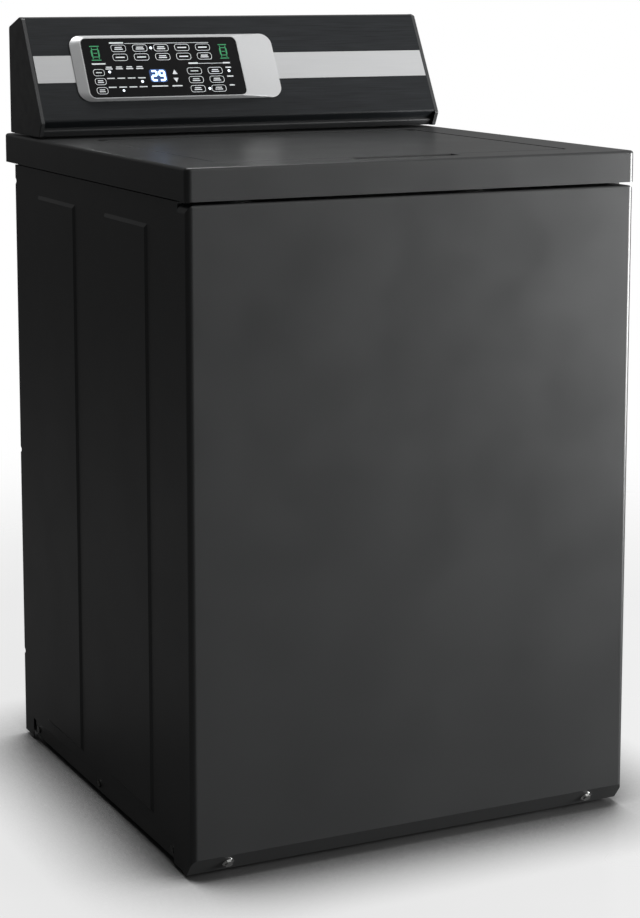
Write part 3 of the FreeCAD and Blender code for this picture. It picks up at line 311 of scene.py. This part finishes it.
def print_ink(name, colour, glow=0.0):
    """Screen print, or a lit segment when glow is above zero."""
    f = Finish(name)
    f.colour(f.noise(1400, 3), tint(colour, 0.88), tint(colour, 1.06))
    f.gloss(f.noise(900, 3), 0.35, 0.5)
    if glow:
        f.set("Emission Color", (*colour, 1))
        f.set("Emission Strength", glow)
    return f.material


def board(name):
    """Lacquered circuit board with its copper runs showing through."""
    f = Finish(name, Coat_Weight=0.4)
    runs = f.cells(420, "Distance")
    f.colour(runs, (0.01, 0.07, 0.03), (0.02, 0.13, 0.05), 0.1, 0.5)
    f.gloss(f.noise(200, 3), 0.2, 0.35)
    f.relief(runs, 0.00004, 0.4)
    return f.material


FINISHES = {
    "graphite_paint": paint("graphite_paint", GRAPHITE),
    "console_skin": brushed("console_skin", (0.010, 0.0115, 0.013), (0.02, 1, 1), scale=900, spread=0.4,
                            smooth=0.34, rough=0.44, metallic=0.0, shine=0.25),
    "console_plastic": moulded("console_plastic", (0.034, 0.035, 0.036), smooth=0.34, rough=0.44),
    "silver_trim": brushed("silver_trim", SILVER, (0.01, 1, 1), scale=1800, spread=0.025,
                           smooth=0.30, rough=0.34, metallic=0.5),
    "black_glass": black_window("black_glass"),
    "galvanised_steel": zinc("galvanised_steel", (0.42, 0.43, 0.44)),
    "zinc_plated": plated("zinc_plated", (0.20, 0.20, 0.195)),
    "bright_hex": plated("bright_hex", (0.75, 0.75, 0.74), 0.10, 0.2),
    "stainless": brushed("stainless", (0.52, 0.52, 0.51), (1, 1, 0.03)),
    "spring_steel": plated("spring_steel", (0.16, 0.16, 0.165), 0.3, 0.45),
    "grey_plastic": moulded("grey_plastic", (0.30, 0.31, 0.32)),
    "white_plastic": moulded("white_plastic", (0.62, 0.63, 0.63)),
    "charcoal_plastic": moulded("charcoal_plastic", (0.035, 0.036, 0.038)),
    "black_plastic": moulded("black_plastic", (0.012, 0.012, 0.013)),
    "rubber": rubber("rubber", (0.012, 0.012, 0.012)),
    "cast_aluminium": cast("cast_aluminium", (0.46, 0.46, 0.47)),
    "motor_paint": paint("motor_paint", (0.012, 0.012, 0.013), spread=0.2, smooth=0.4, rough=0.5, metallic=0.0),
    "circuit_board": board("circuit_board"),
}
INK = print_ink("print_white", PRINT_WHITE)
GREEN_LAMP = print_ink("lamp_green", LAMP_GREEN, 0.35)
BLUE_LAMP = print_ink("lamp_blue", LAMP_BLUE, 2.6)
# Painted glow: a faint lit patch behind the digits stands in for the halo of their light; the patch is no lamp.
PAINTED_DISPLAY_HALO = print_ink("painted_display_halo", (0.012, 0.035, 0.11), 0.9)
WHITE_LAMP = print_ink("lamp_white", (0.85, 0.92, 1.0), 0.8)

slot_of = {part["node"]: part["material_slot"] for part in frame["record"]["subparts"]}
for node_name, node in nodes.items():
    node.data.materials.clear()
    node.data.materials.append(FINISHES[slot_of[node_name]])


# ---------------------------------------------------------------- shape helpers


def piece(name, vertices, faces, material, body=None, smooth=False):
    mesh = bpy.data.meshes.new(name)
    mesh.from_pydata(vertices, [], faces)
    mesh.materials.append(material)
    if smooth:
        mesh.polygons.foreach_set("use_smooth", [True] * len(mesh.polygons))
    mesh.update()
    obj = bpy.data.objects.new(name, mesh)
    bpy.context.scene.collection.objects.link(obj)
    if body:
        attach(obj, body)
    return obj


def ring(count, radius, x, y):
    """Points of a circle, as (x, y)."""
    turns = [2 * math.pi * i / count for i in range(count)]
    return [(x + radius * math.cos(a), y + radius * math.sin(a)) for a in turns]


def lathe(profile, x, y, segments, closed=False):
    """Vertices and faces of a profile of (radius, height) turned about a vertical line."""
    vertices, faces = [], []
    for radius, z in profile:
        vertices += [(px, py, z) for px, py in ring(segments, radius, x, y)]
    rows = len(profile)
    for j in range(rows if closed else rows - 1):
        k = (j + 1) % rows
        for i in range(segments):
            n = (i + 1) % segments
            faces.append((j * segments + i, j * segments + n, k * segments + n, k * segments + i))
    return vertices, faces


def on_face(x, s, lift):
    """Point on the console face: x across, s up the slope, lift out of the face."""
    return (
        x,
        FACE_Y + s * math.cos(FACE_ANGLE) - lift * math.sin(FACE_ANGLE),
        FACE_Z + s * math.sin(FACE_ANGLE) + lift * math.cos(FACE_ANGLE),
    )


def rounded_box(x, s, width, height, radius):
    """Corner points of a rounded rectangle centred on (x, s)."""
    points = []
    for quarter, (sx, sy) in enumerate(((1, 1), (-1, 1), (-1, -1), (1, -1))):
        cx, cy = x + sx * (width / 2 - radius), s + sy * (height / 2 - radius)
        for i in range(CORNER_STEPS + 1):
            a = math.pi / 2 * (quarter + i / CORNER_STEPS)
            points.append((cx + radius * math.cos(a), cy + radius * math.sin(a)))
    return points


class Print:
    """Collects flat printed shapes, given in millimetres on the console face."""

    def __init__(self, lift=PRINT_LIFT):
        self.vertices, self.faces = [], []
        self.lift = GLASS_TOP + lift

    def place(self, points):
        self.vertices += [on_face(x / 1000, s / 1000, self.lift) for x, s in points]

    def patch(self, points):
        start = len(self.vertices)
        self.place(points)
        self.faces.append(tuple(range(start, start + len(points))))

    def bar(self, x, s, width, height):
        left, right = x - width / 2, x + width / 2
        low, high = s - height / 2, s + height / 2
        self.patch([(left, low), (right, low), (right, high), (left, high)])

    def outline(self, x, s, width, height, radius, line):
        outer = rounded_box(x, s, width, height, radius)
        inner = rounded_box(x, s, width - 2 * line, height - 2 * line, max(radius - line, 0.2))
        start, count = len(self.vertices), len(outer)
        self.place(outer + inner)
        for i in range(count):
            n = (i + 1) % count
            self.faces.append((start + i, start + n, start + count + n, start + count + i))

    def mark(self, x, s, widths, height=1.5):
        """A small stack of plain bars where a legend would be."""
        top = s + LINE_SPACING * (len(widths) - 1) / 2
        for i, width in enumerate(widths):
            self.bar(x, top - i * LINE_SPACING, width, height)

    def build(self, name, material):
        return piece(name, self.vertices, self.faces, material, "cabinet")


# ---------------------------------------------------------------- control window


# x runs across from the machine's middle, s up the console face from its lower edge.
CORNER_STEPS = 5
LINE_SPACING = 2.9
PAD_RADIUS, PAD_LINE = 4.2, 0.75
CYCLE_X = (-185.0, -151.5, -118.0, -84.7, -51.5)
CYCLE_ROWS = (112.5, 97.8)
CYCLE_PAD = (23.5, 11.4)
ONE_LINE_CYCLES = ((0, 3), (0, 4), (1, 0), (1, 1), (1, 3))
OPTION_X = (-72.6, -39.2)
OPTION_ROWS = (73.6, 59.2, 44.4)
OPTION_PAD = (23.5, 11.2)
LEFT_X, LEFT_PAD = -222.7, (17.5, 11.0)
LABEL_X = (-206.0, -190.0, -174.0, -158.0)
LABEL_ROWS = (80.7, 64.0, 49.6)
# Bars as (x, s, width, height).
HEADINGS = ((-187.0, 121.3, 22, 2.4), (-72.0, 86.3, 15, 2.3), (-18.5, 86.0, 11, 2.3), (-220.5, 87.6, 21, 2.2))
RULES = ((-107.5, 120.2, 134, 0.7), (-42.5, 85.7, 44, 0.7))
LEGENDS = ((-132.0, 50.0, 25, 1.9), (-104.4, 49.8, 16, 1.9),
           (-17.0, 78.4, 9, 2.0), (-17.0, 63.8, 10, 2.0), (-17.0, 49.2, 8, 2.0))
ARROW_X, ARROW_HALF = -104.4, 4.0
UP_ARROW, DOWN_ARROW = (69.0, 76.6), (62.8, 55.4)
LAMPS = ((-134.2, 112.5), (-206.0, 74.4), (-158.0, 58.0), (-17.0, 72.8), (-54.0, 44.2))
LOWER_LAMP = (-189.8, 44.0)
LAMP_R, LOWER_LAMP_R, LAMP_SIDES = 2.2, 2.0, 14
DISPLAY = (-131.3, 67.0)
DISPLAY_SIZE, DISPLAY_CORNER = (27, 21), 4
DIGITS = ((-137.4, "abged"), (-125.2, "abcdfg"))
DIGIT_WIDTH, DIGIT_HEIGHT = 7.6, 15.0
SEGMENT_LINE, SEGMENT_SHARE = 3.4, 0.92
# Icons as (x, width), each a rounded body with a bar across it, at both ends and down both sides.
ICONS = ((-222.3, 13.0), (-19.4, 12.0))
ICON_S = 105.0
ICON_BODY, ICON_CORNER, ICON_LINE = 13.5, 3.0, 1.3
ICON_END, ICON_END_LINE = 11.2, 1.5
ICON_SIDE, ICON_SIDE_LINE = 19.0, 1.2


def seven_segments(target, x, s, lit):
    """One digit; lit names its segments a to g in the usual order."""
    half, quarter = DIGIT_HEIGHT / 2, DIGIT_HEIGHT / 4
    left, right = x - DIGIT_WIDTH / 2, x + DIGIT_WIDTH / 2
    middles = {
        "a": (x, s + half), "d": (x, s - half), "g": (x, s),
        "b": (right, s + quarter), "c": (right, s - quarter),
        "f": (left, s + quarter), "e": (left, s - quarter),
    }
    for letter in lit:
        width, height = (DIGIT_WIDTH, SEGMENT_LINE) if letter in "adg" else (SEGMENT_LINE, half)
        target.bar(*middles[letter], width * SEGMENT_SHARE, height * SEGMENT_SHARE)


def printed_pads():
    ink = Print()
    for row, s in enumerate(CYCLE_ROWS):
        for column, x in enumerate(CYCLE_X):
            ink.outline(x, s, *CYCLE_PAD, PAD_RADIUS, PAD_LINE)
            one_line = (row, column) in ONE_LINE_CYCLES
            ink.mark(x, s, (14,) if one_line else (11, 13), 1.9 if one_line else 1.6)
    for s in OPTION_ROWS:
        top_row = s == OPTION_ROWS[0]
        for x in OPTION_X:
            ink.outline(x, s, *OPTION_PAD, PAD_RADIUS, PAD_LINE)
            ink.mark(x, s, (12,) if top_row and x == OPTION_X[0] else (10, 12))
        ink.outline(LEFT_X, s, *LEFT_PAD, PAD_RADIUS, PAD_LINE)
        ink.mark(LEFT_X, s, (9,) if top_row else (8, 9))
    for s in LABEL_ROWS:
        for x in LABEL_X:
            ink.mark(x, s, (9, 11) if s == LABEL_ROWS[0] else (12,), 1.7)
    for bar in HEADINGS + RULES + LEGENDS:
        ink.bar(*bar)
    for foot, tip in (UP_ARROW, DOWN_ARROW):
        ink.patch([(ARROW_X - ARROW_HALF, foot), (ARROW_X + ARROW_HALF, foot), (ARROW_X, tip)])
    ink.build("window_print", INK)


def window_lights():
    white = Print()
    for x, s in LAMPS:
        white.patch(ring(LAMP_SIDES, LAMP_R, x, s))
    white.patch(ring(LAMP_SIDES, LOWER_LAMP_R, *LOWER_LAMP))
    white.build("indicator_lamps", WHITE_LAMP)

    # Painted halo glow behind the digits.
    halo_patch = Print(PRINT_LIFT / 2)
    halo_patch.patch(rounded_box(*DISPLAY, *DISPLAY_SIZE, DISPLAY_CORNER))
    halo_patch.build("painted_display_halo", PAINTED_DISPLAY_HALO)

    blue = Print()
    for x, lit in DIGITS:
        seven_segments(blue, x, DISPLAY[1], lit)
    blue.build("time_display", BLUE_LAMP)

    green = Print()
    for x, width in ICONS:
        green.outline(x, ICON_S, width, ICON_BODY, ICON_CORNER, ICON_LINE)
        green.bar(x, ICON_S, width * 0.45, ICON_LINE)
        for side in (-1, 1):
            green.bar(x, ICON_S + side * ICON_END, width * 1.15, ICON_END_LINE)
            green.bar(x + side * width * 0.36, ICON_S, ICON_SIDE_LINE, ICON_SIDE)
    green.build("pad_icons", GREEN_LAMP)


# ---------------------------------------------------------------- basket, springs, bellows


def perforated_basket():
    """Basket wall: a plain seam over the floor's lip, a grid of round holes and a plain rim."""
    radius = BASKET_R - BASKET_SHEET / 2
    low, high = BASKET_SEAM + HOLES_ABOVE_SEAM, BASKET_RIM - HOLES_BELOW_RIM
    segments = 2 * HOLE_COLUMNS
    vertices, faces = lathe([(radius, BASKET_SEAM), (radius, low)], 0.0, AXIS_Y, segments)
    seam = len(vertices) - segments
    step = (high - low) / HOLE_ROWS
    turn = 2 * math.pi / HOLE_COLUMNS

    def at(angle, z):
        return (radius * math.cos(angle), AXIS_Y + radius * math.sin(angle), z)

    below = [seam + i for i in range(segments)]
    for row in range(HOLE_ROWS):
        z = low + row * step
        middle = len(vertices)
        vertices += [at(turn * i, z + step / 2) for i in range(HOLE_COLUMNS)]
        above = [len(vertices) + i for i in range(segments)]
        vertices += [at(turn * i / 2, z + step) for i in range(segments)]
        for i in range(HOLE_COLUMNS):
            n = (i + 1) % HOLE_COLUMNS
            edge = [below[2 * i], below[2 * i + 1], below[2 * n], middle + n,
                    above[2 * n], above[2 * i + 1], above[2 * i], middle + i]
            hole = len(vertices)
            for k in range(HOLE_SIDES):
                a = math.radians(225 + 360 / HOLE_SIDES * k)
                vertices.append(at(turn * (i + 0.5) + HOLE_R * math.cos(a) / radius,
                                   z + step / 2 + HOLE_R * math.sin(a)))
            for k in range(HOLE_SIDES):
                m = (k + 1) % HOLE_SIDES
                faces.append((edge[k], edge[m], hole + m, hole + k))
        below = above
    rim = len(vertices)
    vertices += [at(turn * i / 2, BASKET_RIM) for i in range(segments)]
    for i in range(segments):
        n = (i + 1) % segments
        faces.append((below[i], below[n], rim + n, rim + i))
    basket = piece("perforated_basket", vertices, faces, FINISHES["stainless"], "basket", True)
    skin = basket.modifiers.new("sheet", "SOLIDIFY")
    skin.thickness = BASKET_SHEET
    skin.offset = 0.0
    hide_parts("wash_basket")


def coil_springs():
    """Four compression springs, their end turns closer together than the middle ones."""
    vertices, faces = [], []
    low, high = SPRING_Z
    count = SPRING_TURNS * STEPS_PER_TURN
    for x in (-ROD_X, ROD_X):
        for y in (AXIS_Y - ROD_Y, AXIS_Y + ROD_Y):
            start = len(vertices)
            for i in range(count + 1):
                a = 2 * math.pi * i / STEPS_PER_TURN
                share = i / count
                eased = share - END_CLOSING * math.sin(4 * math.pi * share) / (4 * math.pi)
                z = low + (high - low) * eased
                for out, up in ring(WIRE_SIDES, SPRING_WIRE, SPRING_R, z):
                    vertices.append((x + out * math.cos(a), y + out * math.sin(a), up))
            for i in range(count):
                p, q = start + i * WIRE_SIDES, start + (i + 1) * WIRE_SIDES
                for k in range(WIRE_SIDES):
                    m = (k + 1) % WIRE_SIDES
                    faces.append((p + k, q + k, q + m, p + m))
            last = start + count * WIRE_SIDES
            faces.append(tuple(start + k for k in range(WIRE_SIDES)))
            faces.append(tuple(last + k for k in reversed(range(WIRE_SIDES))))
    springs = piece("coil_springs", vertices, faces, FINISHES["spring_steel"], smooth=True)
    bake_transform(springs)
    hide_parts("suspension_springs")


def bellows():
    """Rubber boot between the tub's sump and the pump."""
    wave = []
    low, high = RIDGE_Z
    for i in range(RIDGES * RIDGE_STEPS + 1):
        share = i / (RIDGES * RIDGE_STEPS)
        rise = RIDGE_RISE * math.cos(2 * math.pi * RIDGES * share + math.pi)
        wave.append((RIDGE_R + rise, low + (high - low) * share))
    outer = [(CUFF_R, BELLOWS_Z[0]), (CUFF_R, CUFF_Z[0]), *wave, (CUFF_R, CUFF_Z[1]), (CUFF_R, BELLOWS_Z[1])]
    inner = [(r - BELLOWS_WALL, z) for r, z in reversed(outer)]
    vertices, faces = lathe(outer + inner, *BELLOWS_AT, 40, closed=True)
    boot = piece("sump_boot", vertices, faces, FINISHES["rubber"], smooth=True)
    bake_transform(boot)
    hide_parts("sump_bellows")


# ---------------------------------------------------------------- edges


def soften(name):
    """Folded sheet edges catch light on a small radius."""
    bevel = nodes[name].modifiers.new("edge", "BEVEL")
    bevel.width = EDGE_ROLL
    bevel.segments = 2
    bevel.limit_method = "ANGLE"
    bevel.angle_limit = math.radians(40)


# ---------------------------------------------------------------- studio


def surroundings():
    """White backdrop that lights mostly from the front right, with little coming from the left and behind."""
    world = bpy.data.worlds.new("studio")
    world.use_nodes = True
    tree = world.node_tree
    toward = tree.nodes.new("ShaderNodeVectorMath")
    toward.operation = "DOT_PRODUCT"
    toward.inputs[1].default_value = SKY_LIT_FROM
    tree.links.new(tree.nodes.new("ShaderNodeTexCoord").outputs["Generated"], toward.inputs[0])
    level = tree.nodes.new("ShaderNodeMapRange")
    level.inputs["From Min"].default_value, level.inputs["From Max"].default_value = SKY_RANGE
    tree.links.new(toward.outputs["Value"], level.inputs["Value"])
    ramp = tree.nodes.new("ShaderNodeValToRGB")
    stops = ramp.color_ramp.elements
    for place, _ in SKY_STEPS[1:-1]:
        stops.new(place)
    for stop, (_, grey) in zip(stops, SKY_STEPS):
        stop.color = (grey, grey, grey, 1)
    tree.links.new(level.outputs["Result"], ramp.inputs["Fac"])
    lit = tree.nodes["Background"]
    tree.links.new(ramp.outputs["Color"], lit.inputs["Color"])
    plain = tree.nodes.new("ShaderNodeBackground")
    plain.inputs["Color"].default_value = (1, 1, 1, 1)
    split_rays(tree, plain.outputs["Background"], lit.outputs["Background"], "World Output")
    bpy.context.scene.world = world


def sweep():
    """Floor that fades into the backdrop, with painted shade near and under the object."""
    finish = Finish("studio_floor")
    finish.colour(finish.noise(3, 2), (0.07, 0.07, 0.07), (0.08, 0.08, 0.08))
    finish.gloss(finish.noise(5, 3), 0.22, 0.28)
    finish.fading_out(*FLOOR_FADE)
    finish.glow_with_painted_shade(FLOOR_GLOW, FLOOR_BOUNCE, SHADE_REACH)
    corners = [(x * FLOOR_HALF, y * FLOOR_HALF, 0) for x, y in ((-1, -1), (1, -1), (1, 1), (-1, 1))]
    floor = piece("floor", corners, [(0, 1, 2, 3)], finish.material)


def softbox(name, where, target, size, power):
    light = bpy.data.lights.new(name, "AREA")
    light.shape = "RECTANGLE"
    light.size, light.size_y = size
    light.energy = power
    lamp = bpy.data.objects.new(name, light)
    lamp.location = where
    lamp.rotation_euler = (Vector(target) - Vector(where)).to_track_quat("-Z", "Y").to_euler()
    bpy.context.scene.collection.objects.link(lamp)


def camera():
    """Seen from the front left and a little above, with the lens shifted down as for an upright picture."""
    data = bpy.data.cameras.new("camera")
    data.sensor_width = 36.0
    data.lens = 89.0
    data.shift_y = -0.16
    eye = bpy.data.objects.new("camera", data)
    eye.location = CAMERA_AT
    eye.rotation_euler = (math.pi / 2 - CAMERA_DOWN, 0, -CAMERA_TURN)
    bpy.context.scene.collection.objects.link(eye)
    bpy.context.scene.camera = eye


printed_pads()
window_lights()
perforated_basket()
coil_springs()
bellows()
for sheet_name in ("front_panel", "cabinet_top", "lid_panel", "left_side_panel", "right_side_panel"):
    soften(sheet_name)
sweep()
surroundings()
softbox("key", (2.6, -1.6, 0.4), (0.1, -0.3, 0.4), (1.2, 1.8), 225)
softbox("overhead", (0.0, 0.5, 3.4), (0, -0.1, 0), (1.8, 1.4), 56)
camera()
bpy.context.scene.view_settings.view_transform = "Standard"
